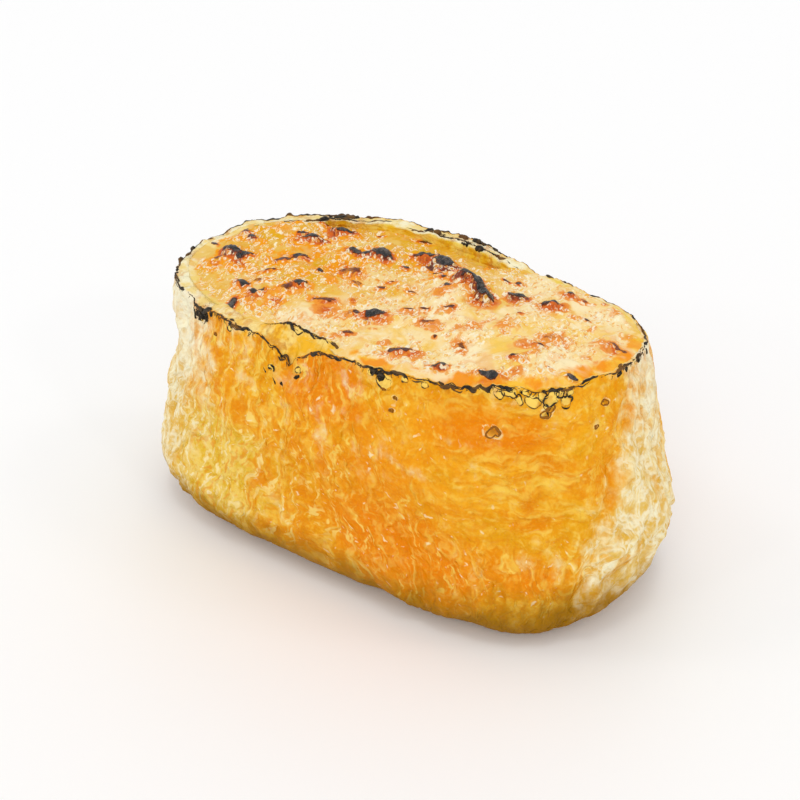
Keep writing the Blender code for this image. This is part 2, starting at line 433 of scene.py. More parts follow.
def build_skin():
    angle, around = even_angles(COLUMNS, 0.6)
    arc = np.arange(COLUMNS) / COLUMNS * around
    rim = whole_rim(angle)
    ring_radius = around / (2 * math.pi)
    circle = arc / ring_radius
    on_ring = np.stack([ring_radius * np.cos(circle), ring_radius * np.sin(circle), 0 * circle], -1)
    outer_top, inner_top = edge_lines(angle, on_ring, arc)

    rows = []  # (z, inset, share, mm below the outer top, mm in from the outer face)

    def add(z, inset, down, inward):
        z = np.broadcast_to(z, angle.shape).astype(float)
        rows.append((z, np.broadcast_to(inset, angle.shape).astype(float),
                     np.broadcast_to(down, angle.shape).astype(float),
                     np.broadcast_to(inward, angle.shape).astype(float)))

    rounding = BASE_ROUNDING - 2.2 * near(angle, -38, 30) - 0.9 * near(angle, -112, 30)
    rounding += 0.5 * fractal(on_ring * 0.16, 2, 18)
    for k in range(10):
        turn = math.pi / 2 * k / 10
        z = rounding * (1 - math.cos(turn))
        inset = rounding * (1 - math.sin(turn))
        add(z, inset, outer_top - z, 0.0)
    fine_start = outer_top - 5.0
    for k in range(52):
        z = rounding + (fine_start - rounding) * k / 52
        add(z, 0.0, outer_top - z, 0.0)
    for k in range(27):
        z = fine_start + (outer_top - 0.25 - fine_start) * k / 26
        add(z, 0.0, outer_top - z, 0.0)
    # Over the edge: the outer layer's rounded lip, a ledge, the inner layer's face and its lip.
    ledge = np.clip((inner_top - outer_top) * 0.35, 0.0, 0.6)
    add(outer_top - 0.08, 0.07, 0.08, 0.1)
    add(outer_top, 0.22, 0.0, 0.25)
    add(outer_top + 0.02, 0.42, 0.0, 0.45)
    add(outer_top + (inner_top - outer_top) * 0.25, 0.60, 0.0, 0.7)
    add(outer_top + (inner_top - outer_top) * 0.55, 0.78 + 0.3 * ledge, 0.0, 0.9)
    add(outer_top + (inner_top - outer_top) * 0.85, 0.95 + 0.6 * ledge, 0.0, 1.1)
    add(inner_top - 0.03, EDGE_THICK - 0.70 + 0.5 * ledge, 0.0, 1.3)
    add(inner_top, EDGE_THICK - 0.45 + 0.5 * ledge, 0.0, 1.5)
    add(inner_top - 0.08, EDGE_THICK - 0.2 + 0.3 * ledge, 0.0, 1.7)
    for k, drop in enumerate((0.25, 0.45, 0.7, 1.0, 1.4, 1.9, 2.6, 3.6)):
        add(inner_top - drop, EDGE_THICK + 0.02 * k, 0.0, 1.9 + drop)
    for share in (0.75, 0.5, 0.25, 0.12):
        add(FLOOR_THICK + (rim - 5 - FLOOR_THICK) * share, WALL_THICK, 0.0, 8.0)
    add(FLOOR_THICK, WALL_THICK + 3.0, 0.0, 20.0)

    z, inset, down, inward = (np.array(part) for part in zip(*rows))
    share = np.clip(z / rim, 0, 1)
    x, y, out_x, out_y = outline(angle[None, :], share, inset)
    points = np.stack([x, y, z], -1)
    flow = np.stack([np.broadcast_to(ring_radius * np.cos(circle), z.shape),
                     np.broadcast_to(ring_radius * np.sin(circle), z.shape),
                     z - inward], -1)
    wide = wide_share(angle[None, :], z)

    # Soft shape: broad lumps, pleats that run up the bag or along it, and fibres.
    on_wall = step(z, 0.0, 3.0) * step(down, -0.1, 2.0)
    all_over = np.where(inward < 3.0, 1.0, 0.0) * step(z, 0.0, 3.0)
    bend = np.stack([fractal(flow * 0.12, 2, 31), fractal(flow * 0.12, 2, 32),
                     fractal(flow * 0.12, 2, 33)], -1)
    bent = flow + 2.6 * bend
    tall = bent * np.array([0.50, 0.50, 0.11])
    broad = bent * np.array([0.16, 0.16, 0.55])
    pleats = (1 - wide) * fractal(tall, 3, 41) + wide * fractal(broad, 3, 42)
    tall = bent * np.array([1.25, 1.25, 0.30])
    broad = bent * np.array([0.42, 0.42, 1.4])
    fibres = (1 - wide) * fractal(tall, 2, 43) + wide * fractal(broad, 2, 44)
    ends = end_share(angle[None, :], z)
    lumps = fractal(flow * 0.10, 2, 51)
    spongy = fractal(bent * 0.75, 2, 52)
    out = 0.42 * lumps * all_over
    out += 0.40 * fractal(on_ring * 0.22, 2, 53)[None, :] * np.exp(-(((z - 2.8) / 2.2) ** 2))
    out += (0.26 + 0.24 * ends) * pleats * on_wall
    out += (0.085 + 0.10 * ends) * fibres * on_wall
    out += -0.20 * step(spongy, 0.20, 0.8) * on_wall

    # The furrow down the middle of the near side, and the fold where the right end's pleats begin.
    out += -0.55 * near(angle, -75 + 0.0, 2.6)[None, :] * step(z, 1.0, 4.0) * step(-z, -19.0, -11.0)
    fold = -22 + 20 * step(z, 12.0, 29.0)
    at_fold = turn_between(angle[None, :], np.radians(fold)) * ring_radius + 1.5 * fractal(flow * 0.2, 2, 45)
    along_fold = step(z, 3.0, 8.0) * step(-z, -29.0, -22.0)
    out += 0.30 * np.exp(-((at_fold / 1.2) ** 2)) * along_fold
    out += -0.28 * np.exp(-(((at_fold + 2.4) / 1.6) ** 2)) * along_fold

    # Bubbles under the edge and popped ones lower down, as distances that the material reads too.
    on_edge = np.where(inward > 0.3, 9.0, 0.0)
    inside_cell = np.zeros(z.shape)
    for degrees, below, radius in EDGE_BUBBLES:
        along = turn_between(angle[None, :], math.radians(degrees)) * ring_radius * 0.86
        apart = np.hypot(along, down - below) + on_edge
        inside_cell = np.maximum(inside_cell, step(radius - apart, 0.0, radius * 0.5))
        out += 0.42 * radius * np.sqrt(np.clip(1 - (apart / radius) ** 2, 0, 1))
    pock = np.full(z.shape, 3.0)
    for degrees, height, radius in POCKS:
        along = turn_between(angle[None, :], math.radians(degrees)) * ring_radius * 0.9
        shape = 1 + 0.22 * noise(flow * 0.9 + degrees, 62) + 0.12 * noise(flow * 2.5 + degrees, 64)
        apart = np.hypot(along, (z - height) * 1.40) * shape
        pock = np.minimum(pock, apart / radius)
        out += 0.20 * radius * np.exp(-(((apart - radius) / (0.35 * radius)) ** 2))
        out += -0.55 * radius * step(radius * 0.8 - apart, 0.0, radius * 0.6)
    spot = np.full(z.shape, 3.0)
    for degrees, below, radius in CHAR_SPOTS:
        along = turn_between(angle[None, :], math.radians(degrees)) * ring_radius * 0.86
        apart = np.hypot(along, down - below - 0.5 * inward) / radius
        spot = np.minimum(spot, apart)
    # The far side's lip flares out past its burnt line.
    flare = near(angle, 138, 26) + 0.6 * near(angle, 95, 14) + 0.5 * near(angle, 172, 14)
    out += 0.85 * flare * step(-down, -2.4, -0.1) * step(-inward, -1.0, -0.2)
    far_side = near(angle, 125, 55)[None, :]
    out += 0.45 * fractal(flow * 0.33, 2, 75) * far_side * step(-down, -3.0, -0.1) * step(-inward, -2.6, -1.8)

    # The burnt edge is crisp and crumpled.
    crumple = step(-down, -1.2, 0.0) * np.where(inward < 2.2, 1.0, 0.0)
    out += 0.13 * fractal(flow * 1.1, 3, 71) * crumple
    rise = 0.11 * fractal(flow * np.array([1.0, 1.0, 0.4]) + 5, 3, 72) * crumple
    points[..., 0] += out * out_x
    points[..., 1] += out * out_y
    points[..., 2] += rise
    lip = points[LIP_ROW, :, :2]

    burn = burn_share(angle, on_ring)

    # The underside: the same skin, gathered towards the middle.
    under = []
    under_shares = (0.03, 0.15, 0.32, 0.5, 0.68, 0.85, 0.95)
    base = points[0]
    for part in under_shares:
        under.append(base * np.array([part, part, 1.0]))
    under = np.array(under)
    points = np.concatenate([under, points])
    extra = len(under_shares)

    def with_under(values, fill=None):
        first = np.repeat(values[:1], extra, axis=0) if fill is None else np.full((extra, COLUMNS), fill)
        return np.concatenate([first, values])

    flow = np.concatenate([np.stack([under[..., 0] * 0.8, under[..., 1] * 1.4,
                                     0 * under[..., 2] - 3], -1), flow])
    rows_count = len(points)
    flat = to_cad(points.reshape(-1, 3))
    flat[:, 2] = np.maximum(flat[:, 2], 0.0)
    faces = grid_faces(rows_count, COLUMNS)
    faces.append(list(range(COLUMNS))[::-1])
    faces.append([(rows_count - 1) * COLUMNS + k for k in range(COLUMNS)])
    obj = mesh_from(
        "pouch_skin", flat, faces,
        {
            "down": with_under(down, 30.0), "inward": with_under(inward),
            "burn": with_under(np.broadcast_to(burn, z.shape)),
            "pock": with_under(pock), "wide": with_under(wide), "ends": with_under(ends),
            "spot": with_under(spot), "inside_cell": with_under(inside_cell),
            "crest": with_under(np.broadcast_to(crest_share(angle), z.shape)),
            "deep": with_under(deep_share(angle[None, :], z)),
            "yellow": with_under(yellow_share(angle[None, :], z)),
            "height": with_under(z / (1 + 0.45 * near(angle, -25, 38)), 0.0),
            "far": with_under(np.broadcast_to(far_share(angle), z.shape)),
        },
        {"flow": flow},
    )
    return obj, angle, outer_top, flat.reshape(rows_count, COLUMNS, 3)[extra:], lip


def burn_share(angle, on_ring):
    burn = sum(amount * near(angle, degrees, reach) for degrees, amount, reach in BURNS)
    return np.clip(burn + 0.25 * fractal(on_ring * 0.5, 2, 81), 0, 1.2)


def wide_share(angle, z):
    """Where the skin's streaks run along the bag and not up it: high on the right of the near side."""
    return (near(angle, -45, 26) + 0.7 * near(angle, 70, 40)) * step(z, 11.0, 19.0)


def end_share(angle, z):
    """1 on the pleated ends, which the skin's material paints pale: partly their own paler skin, partly painted rim
    light.
    """
    from_fold = turn_between(angle, np.radians(-24 + 20 * step(z, 12.0, 29.0)))
    right = step(from_fold, -0.26, 0.22) * step(-turn_between(angle, math.radians(35)), -0.1, 0.6)
    left = near(angle, 180, 42) + 0.75 * near(angle, -142, 20)
    return np.clip(right + left, 0, 1)


def far_share(angle):
    """Where the edge's thickness is pale and not orange: on the ends and the far side."""
    return 1 - step(near(angle, -62, 62), 0.25, 0.75)


def crest_share(angle):
    """How much the inner corner of the edge is burnt."""
    degrees = ((-97, 0.9, 6), (125, 0.8, 9), (90, 0.7, 12), (140, 0.4, 12), (70, 0.35, 6), (170, 0.25, 10))
    return sum(amount * near(angle, at, reach) for at, amount, reach in degrees)


def deep_share(angle, z):
    """Where the skin is deepest orange."""
    low = near(angle, -76, 9) * step(z, 1.0, 4.0) * step(-z, -17.0, -9.0)
    middle = 0.55 * near(angle, -78, 22) * step(-z, -28.0, -20.0)
    under_edge = 0.9 * near(angle, -88, 9) * step(z, 22.0, 26.0)
    right = 1.0 * near(angle, -50, 17) * np.exp(-(((z - 26.5) / 2.6) ** 2))
    right_low = 0.6 * near(angle, -45, 18) * np.exp(-(((z - 10) / 3.5) ** 2))
    far = 0.7 * near(angle, 95, 25) * np.exp(-(((z - 14) / 8) ** 2)) + 0.4 * near(angle, 60, 14)
    return np.clip(low + middle + under_edge + right + right_low + far, 0, 1)


def yellow_share(angle, z):
    """Where the skin is a paler yellow: low on the left of the near side."""
    return np.clip(near(angle, -118, 22) * step(-z, -24.0, -14.0) + 0.5 * near(angle, 135, 20), 0, 1)


DARK_CHAR = rgb(0.012, 0.010, 0.007)
BROWN_CHAR = rgb(0.22, 0.085, 0.006)


def skin_look():
    look = Look("fried_tofu_skin")
    flow = look.vector("flow")
    solid = look.scaled(look.node("ShaderNodeTexCoord", {}, out=3), (1000.0, 1000.0, 1000.0))
    wander = look.noise(flow, 0.25, 2.0, colour=True)
    curl = look.noise(solid, 0.9, 2.0, colour=True)
    bent = look.moved(look.moved(flow, wander, 5.0), curl, 0.8)
    tall = look.scaled(bent, (1.0, 1.0, 0.36))
    calm = look.moved(look.moved(flow, wander, 2.2), curl, 0.5)
    broad = look.scaled(calm, (0.40, 0.40, 1.0))
    wide = look.number("wide")

    def streaks(scale, detail, roughness=0.6):
        return look.blend(wide, look.noise(tall, scale, detail, roughness),
                          look.noise(broad, scale, detail, roughness))

    def web(scale, low, high):
        lines = look.blend(wide, look.cells(tall, scale), look.cells(broad, scale))
        return look.rise(lines, low, high, 1.0, 0.0)

    large = streaks(0.30, 3.0, 0.55)
    medium = streaks(0.85, 3.0, 0.55)
    small = streaks(2.0, 2.0)
    patches = look.noise(flow, 0.16, 3.0, 0.55)
    clouds = look.noise(solid, 0.55, 4.0, 0.6)
    ends, deep, yellow = look.number("ends"), look.number("deep"), look.number("yellow")
    height = look.number("height")

    def shifted(share, *waves):
        for wave, amount in waves:
            share = look.plus(share, look.times(look.math("SUBTRACT", wave, 0.5), amount))
        return share

    amber = look.mix(look.rise(large, 0.38, 0.60), rgb(0.80, 0.255, 0.001), rgb(0.91, 0.410, 0.012))
    amber = look.mix(look.rise(patches, 0.44, 0.62, 0.0, 0.8), amber,
                     look.mix(wide, rgb(0.79, 0.34, 0.004), rgb(0.75, 0.355, 0.003)))
    amber = look.mix(look.rise(clouds, 0.46, 0.66, 0.0, 0.55), amber, rgb(0.92, 0.49, 0.028))
    colour = look.mix(look.rise(shifted(deep, (large, 1.0)), 0.22, 0.82), amber, rgb(0.84, 0.235, 0.001))
    golden = look.mix(look.rise(clouds, 0.40, 0.60), rgb(0.77, 0.47, 0.030), rgb(0.87, 0.63, 0.14))
    colour = look.mix(look.rise(shifted(yellow, (large, 1.2)), 0.25, 0.75), colour, golden)
    # The ends are painted pale, whiter high up and more orange low down: partly the ends' own paler skin, partly
    # painted rim light.
    pale = look.mix(look.rise(medium, 0.38, 0.62), rgb(0.76, 0.45, 0.06), rgb(0.86, 0.65, 0.25))
    ends_here = look.rise(shifted(ends, (large, 1.6), (clouds, 1.6)), 0.10, 1.05)
    pale = look.mix(look.rise(shifted(height, (clouds, 10.0)), 14.0, 28.0, 0.0, 0.92), pale, rgb(0.89, 0.82, 0.64))
    low = look.rise(shifted(height, (clouds, 8.0), (large, 6.0)), 2.0, 13.0, 0.85, 0.0)
    pale = look.mix(low, pale, rgb(0.74, 0.42, 0.035))
    colour = look.mix(ends_here, colour, pale)

    # Small pale clouds, a web of pale threads, painted white glints and brown pores in the wet skin.
    cream = look.mix(ends_here, rgb(0.92, 0.57, 0.075), rgb(0.93, 0.80, 0.46))
    streak = look.times(look.rise(medium, 0.52, 0.70), look.blend(deep, 0.85, 0.25))
    colour = look.mix(streak, colour, cream)
    pores = look.times(look.rise(small, 0.56, 0.66), look.rise(clouds, 0.56, 0.44, 0.0, 0.35))
    colour = look.mix(pores, colour, look.mix(ends_here, rgb(0.74, 0.24, 0.002), rgb(0.80, 0.46, 0.07)))
    thread = look.times(web(0.42, 0.02, 0.09), look.rise(medium, 0.44, 0.56))
    thread = look.math("MAXIMUM", thread, look.times(web(0.85, 0.03, 0.12), look.rise(clouds, 0.47, 0.60, 0.0, 0.8)))
    net = look.math("MAXIMUM", web(0.55, 0.03, 0.13), web(1.0, 0.04, 0.15))
    net = look.times(net, look.times(ends_here, look.rise(clouds, 0.40, 0.56, 0.10, 0.75)))
    net = look.times(net, look.math("SUBTRACT", 1.0, look.times(low, 0.7)))
    thread = look.math("MAXIMUM", look.times(thread, look.blend(deep, 0.50, 0.25)), net)
    colour = look.mix(thread, colour, look.mix(ends_here, rgb(0.94, 0.64, 0.09), rgb(0.96, 0.90, 0.66)))
    grain = look.noise(solid, 3.2, 2.0, 0.5)
    colour = look.mix(look.rise(grain, 0.50, 0.68, 0.0, 0.22), colour, look.mix(ends_here, rgb(0.95, 0.58, 0.05),
                                                                           rgb(0.96, 0.86, 0.54)))
    colour = look.mix(look.rise(grain, 0.48, 0.32, 0.0, 0.20), colour, look.mix(ends_here, rgb(0.76, 0.24, 0.002),
                                                                           rgb(0.80, 0.50, 0.08)))
    # Painted light and shade on the wet folds: each fold is painted bright on one side and deep orange on the other.
    painted_light_and_shade = look.blend(wide, look.sides(tall, 0.95, (0.26, -0.10, 0.16)),
                     look.sides(broad, 0.95, (0.10, 0.0, 0.30)))
    highlight_clusters = look.rise(look.noise(flow, 0.24, 2.0), 0.40, 0.60, 0.25, 1.0)
    highlight_clusters = look.plus(highlight_clusters, look.times(yellow, 0.7), True)
    # Painted highlights, gathered in clusters, and painted shade on the folds' other sides.
    painted_fold_highlight = look.times(look.rise(painted_light_and_shade, 0.035, 0.14), look.times(highlight_clusters, look.blend(wide, 0.80, 0.32)))
    painted_fold_shade = look.times(look.rise(painted_light_and_shade, -0.03, -0.13), look.blend(wide, look.blend(ends_here, 0.60, 0.35), 0.25))
    colour = look.mix(painted_fold_shade, colour, look.mix(ends_here, rgb(0.79, 0.25, 0.002), rgb(0.74, 0.46, 0.08)))
    fold_highlight_colour = look.mix(yellow, rgb(0.96, 0.67, 0.12), rgb(0.96, 0.81, 0.42))
    colour = look.mix(painted_fold_highlight, colour, look.mix(ends_here, fold_highlight_colour, rgb(0.97, 0.92, 0.66)))
    # Painted glints: small white specks standing in for wet highlights.
    painted_glints = look.rise(look.noise(bent, 1.30, 1.0, 0.5), 0.68, 0.80, 0.0, 0.80)
    painted_glints = look.times(painted_glints, look.blend(wide, 1.0, 0.5))
    colour = look.mix(painted_glints, colour, rgb(0.97, 0.84, 0.52))

    # Painted contact shade: darker brown at the foot, where it stands on the floor, and over the underside.
    painted_foot_shade = look.rise(shifted(height, (large, 5.0), (clouds, 3.0)), 1.8, 8.0, 1.0, 0.0)
    colour = look.mix(painted_foot_shade, colour, rgb(0.33, 0.150, 0.001))

    # The edge: pale in its thickness, yellow inside, burnt along its outer and inner corners.
    inward, down = look.number("inward"), look.number("down")
    thickness = look.rise(inward, 0.15, 0.5)
    mixed = look.rise(clouds, 0.40, 0.60)
    edge_tone = look.mix(mixed, rgb(0.91, 0.48, 0.025), rgb(0.95, 0.68, 0.19))
    edge_pale = look.mix(mixed, rgb(0.88, 0.68, 0.26), rgb(0.93, 0.86, 0.58))
    colour = look.mix(thickness, colour, look.mix(look.number("far"), edge_tone, edge_pale))
    inside = look.rise(inward, 1.7, 2.2)
    wall = look.mix(look.number("far"), look.mix(mixed, rgb(0.88, 0.48, 0.02), rgb(0.93, 0.66, 0.15)),
                    look.mix(mixed, rgb(0.86, 0.54, 0.025), rgb(0.93, 0.72, 0.15)))
    colour = look.mix(inside, colour, wall)

    burn, crest = look.number("burn"), look.number("crest")
    ragged = look.noise(solid, 1.0, 3.0, 0.6)
    finer = look.noise(solid, 2.8, 2.0, 0.6)
    inside_cell = look.number("inside_cell")
    colour = look.mix(look.rise(inside_cell, 0.05, 0.5, 0.0, 0.95), colour, rgb(0.97, 0.66, 0.13))
    scorch = look.times(look.rise(down, 0.0, 2.0, 0.55, 0.0), look.rise(ragged, 0.45, 0.60))
    scorch = look.times(scorch, look.rise(burn, 0.3, 0.9))
    colour = look.mix(scorch, colour, rgb(0.60, 0.19, 0.003))

    def line(at, amount, width):
        off = look.math("ABSOLUTE", shifted(at, (ragged, 0.9)))
        half = shifted(look.times(amount, width), (finer, 0.42))
        return look.rise(look.math("SUBTRACT", off, half), -0.05, 0.05, 1.0, 0.0)

    char = line(look.math("SUBTRACT", look.math("SUBTRACT", inward, down), 0.08), burn, 0.10)
    char = look.math("MAXIMUM", char, look.times(line(look.math("SUBTRACT", inward, 1.42), crest, 0.12),
                                                 look.rise(crest, 0.15, 0.3)))
    spot = shifted(look.number("spot"), (ragged, 1.6), (finer, 0.8))
    char = look.math("MAXIMUM", char, look.rise(spot, 0.75, 1.0, 1.0, 0.0))
    ring = shifted(look.number("pock"), (ragged, 0.5))
    colour = look.mix(look.rise(ring, 0.3, 1.0, 0.45, 0.0), colour, rgb(0.66, 0.27, 0.010))
    collar = look.rise(look.math("ABSOLUTE", look.math("SUBTRACT", ring, 1.30)), 0.06, 0.30, 0.7, 0.0)
    colour = look.mix(look.times(collar, look.rise(finer, 0.42, 0.52)), colour, rgb(0.96, 0.78, 0.40))
    burnt = look.mix(look.rise(finer, 0.4, 0.65), DARK_CHAR, rgb(0.055, 0.040, 0.018))
    colour = look.mix(look.rise(char, 0.02, 0.45, 0.0, 0.8), colour, BROWN_CHAR)
    colour = look.mix(look.rise(char, 0.35, 0.75), colour, burnt)

    roughness = look.blend(char, look.rise(medium, 0.3, 0.7, 0.16, 0.34), 0.6)
    folds = look.blend(wide, look.noise(tall, 0.85, 1.0, 0.4), look.noise(broad, 0.85, 1.0, 0.4))
    relief = look.plus(look.times(folds, 0.55), look.times(look.noise(bent, 1.9, 1.0, 0.4), 0.15))
    relief = look.plus(relief, look.times(thread, 0.035))
    look.bump(relief, 1.0, 1.0)
    look.set(Base_Color=colour, Roughness=roughness, Coat_Weight=0.16, Coat_Roughness=0.06, Coat_IOR=1.5, IOR=1.38, Specular_IOR_Level=0.0)
    return look.material


# ---------------------------------------------------------------- the cream

PITCH = 0.130
EDGE_DROP = 0.45
DOME = 0.55
# The cream's hidden side leans in to this share of its outline.
SKIRT_LEAN = 0.92

# Broad swells: x, y, height, reach in mm.
SWELLS = (
    (-20.0, 4.5, 0.9, 5.0), (-6.0, 7.5, 0.7, 4.5), (6.0, 3.5, 0.8, 5.0), (17.5, -1.5, 0.6, 6.0),
    (-10.0, -6.5, 0.8, 5.0), (10.0, -9.5, -0.5, 5.0), (-0.5, -1.0, -0.5, 4.0), (-14.0, 3.0, -0.4, 3.0),
)

# Blisters: x, y, half length, half width, turn in degrees, height, how black the top is.
BLISTERS = (
    (-22.2, -4.2, 2.2, 1.0, -25, 1.15, 1.0), (-22.6, -6.0, 1.3, 0.9, 34, 0.5, 0.35),
    (-20.3, -3.6, 1.2, 0.6, 20, 0.5, 0.75), (-22.1, -0.4, 1.1, 0.5, -30, 0.6, 0.85),
    (-23.9, 0.2, 1.3, 0.6, 34, 0.4, 0.4), (-26.6, -2.5, 0.6, 0.4, 0, 0.3, 0.6),
    (-25.2, 1.8, 0.6, 0.4, -40, 0.4, 0.8), (-14.4, -1.0, 1.3, 0.8, 20, 0.7, 0.9),
    (-15.3, -2.4, 1.6, 0.7, 34, 0.4, 0.5), (-15.8, 3.4, 1.7, 0.8, 30, 0.8, 0.95),
    (-17.3, 3.4, 1.0, 0.5, 34, 0.4, 0.6), (-14.6, 7.4, 1.9, 0.8, 10, 0.8, 0.95),
    (-17.3, 7.4, 0.8, 0.6, 34, 0.5, 0.8), (-9.4, 3.0, 1.3, 0.6, -20, 0.7, 0.9),
    (-6.3, 3.8, 1.7, 1.0, 0, 0.9, 1.0), (-7.8, 3.2, 1.0, 0.7, 34, 0.5, 0.75),
    (-7.3, -0.9, 1.7, 1.2, 34, 0.5, 0.30), (-10.1, -2.7, 0.5, 0.35, 0, 0.35, 0.8),
    (-2.4, 3.2, 0.6, 0.45, -20, 0.4, 0.8), (-15.7, -5.5, 1.6, 0.4, 34, 0.3, 0.45),
    (-16.2, -9.2, 1.4, 0.7, -25, 0.7, 0.85), (-9.4, -7.2, 1.2, 0.7, 34, 0.7, 0.85),
    (-10.2, -8.4, 1.2, 0.6, 34, 0.3, 0.35), (-13.2, -10.2, 1.4, 0.6, 5, 0.5, 0.7),
    (-5.5, -7.9, 1.6, 0.7, 20, 0.4, 0.4), (-14.6, -12.9, 1.2, 0.7, -80, 0.6, 0.8),
    (0.8, -7.3, 1.6, 0.7, 15, 0.7, 0.85), (-0.8, -8.0, 0.7, 0.4, 34, 0.3, 0.5),
    (-1.8, 0.3, 0.8, 0.35, 34, 0.2, 0.35), (0.5, 6.7, 1.6, 1.4, 10, 1.5, 1.35),
    (1.6, 6.3, 1.25, 1.0, 0, 1.3, 1.4), (-1.8, 7.0, 1.8, 0.9, 30, 1.1, 0.95),
    (1.5, 3.9, 0.9, 0.35, 20, 0.3, 0.5), (2.7, 3.5, 0.6, 0.4, 0, 0.3, 0.6),
    (5.4, 4.0, 1.8, 0.8, -5, 1.1, 1.3), (7.3, 3.1, 1.2, 0.8, -50, 1.2, 1.3),
    (8.7, 2.0, 1.2, 1.1, 0, 1.4, 1.3), (11.6, 4.6, 1.3, 0.8, 0, 0.8, 1.0),
    (15.6, 4.7, 1.3, 0.9, 20, 0.9, 0.62), (10.2, 7.3, 0.5, 0.35, 34, 0.3, 0.7),
    (8.9, 6.6, 0.45, 0.3, 0, 0.3, 0.5), (13.7, 1.1, 0.4, 0.35, 0, 0.35, 0.85),
    (15.9, 8.3, 0.7, 0.6, 0, 0.6, 0.6), (4.3, 1.6, 0.6, 0.5, -30, 0.4, 0.6),
    (3.0, -4.0, 0.8, 0.35, 34, 0.25, 0.5), (4.4, -3.0, 0.7, 0.3, 34, 0.25, 0.45),
    (6.7, -2.0, 0.8, 0.4, 34, 0.3, 0.5), (6.3, -5.1, 1.0, 0.7, 34, 0.4, 0.3),
    (19.2, -1.2, 1.5, 0.9, 34, 0.5, 0.20), (18.4, -3.3, 0.8, 0.4, 20, 0.3, 0.45),
    (19.8, 4.7, 0.35, 0.3, 0, 0.3, 0.6), (7.2, -11.1, 1.5, 0.8, 34, 0.7, 0.5),
    (11.8, -11.4, 0.9, 0.6, 34, 0.6, 0.95), (16.9, -10.3, 1.5, 0.8, 15, 0.9, 1.0),
    (17.4, -6.5, 0.6, 0.35, 20, 0.3, 0.6), (23.7, -5.9, 0.6, 0.35, 0, 0.35, 0.95),
    (25.0, -5.2, 0.45, 0.3, 0, 0.3, 0.9), (25.2, 1.3, 1.0, 0.5, 0, 0.3, 0.35),
    (19.7, 9.2, 0.35, 0.3, 0, 0.3, 0.7), (-5.0, 11.4, 1.3, 0.5, 20, 0.3, 0.45),
    (5.0, 9.9, 0.8, 0.5, 0, 0.3, 0.3),
)
# Toasted patches: x, y, reach, how much.
TOASTED = (
    (-22.0, -5.0, 3.2, 0.65), (-23.9, 0.0, 1.8, 0.45), (-21.5, 2.5, 2.0, 0.40), (-15.0, -1.5, 2.4, 0.60),
    (-16.0, 2.5, 2.4, 0.70), (-13.0, 1.5, 2.5, 0.45), (-14.6, 6.6, 2.6, 0.75), (-12.0, 6.6, 2.0, 0.45),
    (-7.2, 2.8, 2.2, 0.65), (-10.5, 2.4, 2.0, 0.50), (-8.0, -1.0, 3.2, 0.55), (-16.0, -9.6, 1.6, 0.55),
    (-22.5, -7.0, 2.2, 0.50), (-20.0, -6.0, 2.4, 0.45), (-12.6, -10.8, 2.4, 0.85), (-10.8, -10.8, 2.0, 0.70),
    (-9.8, -8.0, 1.8, 0.65), (-4.4, -8.9, 2.2, 0.75), (-11.0, -4.0, 3.0, 0.35), (-0.6, -12.2, 2.4, 0.55),
    (-1.6, 6.0, 2.4, 0.75), (0.6, 5.4, 2.2, 0.80), (1.8, 3.4, 2.0, 0.60), (5.4, 3.0, 2.0, 0.85),
    (9.0, 1.2, 2.2, 0.75), (4.5, 0.5, 1.8, 0.65), (3.5, -4.4, 2.2, 0.65), (11.5, 4.0, 1.8, 0.75),
    (15.7, 4.3, 1.5, 0.50), (15.7, 7.8, 1.6, 0.50), (10.8, -3.4, 2.0, 0.45), (13.5, -1.6, 2.2, 0.50),
    (19.0, -1.2, 2.0, 0.80), (18.2, -3.2, 1.4, 0.60), (9.9, -11.3, 1.4, 0.40), (7.2, -11.3, 1.7, 0.90),
    (11.9, -11.6, 1.4, 0.80), (16.9, -10.8, 1.7, 0.80), (18.8, -8.1, 1.3, 0.85), (24.0, -2.4, 2.2, 0.40),
    (25.3, 1.2, 1.4, 0.75), (23.3, 1.2, 2.0, 0.40), (25.0, 4.6, 1.6, 0.60), (21.5, 7.6, 1.8, 0.35),
    (-5.0, 11.2, 1.8, 0.45), (5.6, 9.6, 1.8, 0.40), (20.5, 3.2, 2.0, 0.30), (-18.8, -13.2, 1.8, 0.70),
)


def on_top(x, y):
    """Where a point of the tables above lies on the cream, whose top leans down to the left."""
    return 1.044 * x + 0.45, y - 0.065 * x + 0.63


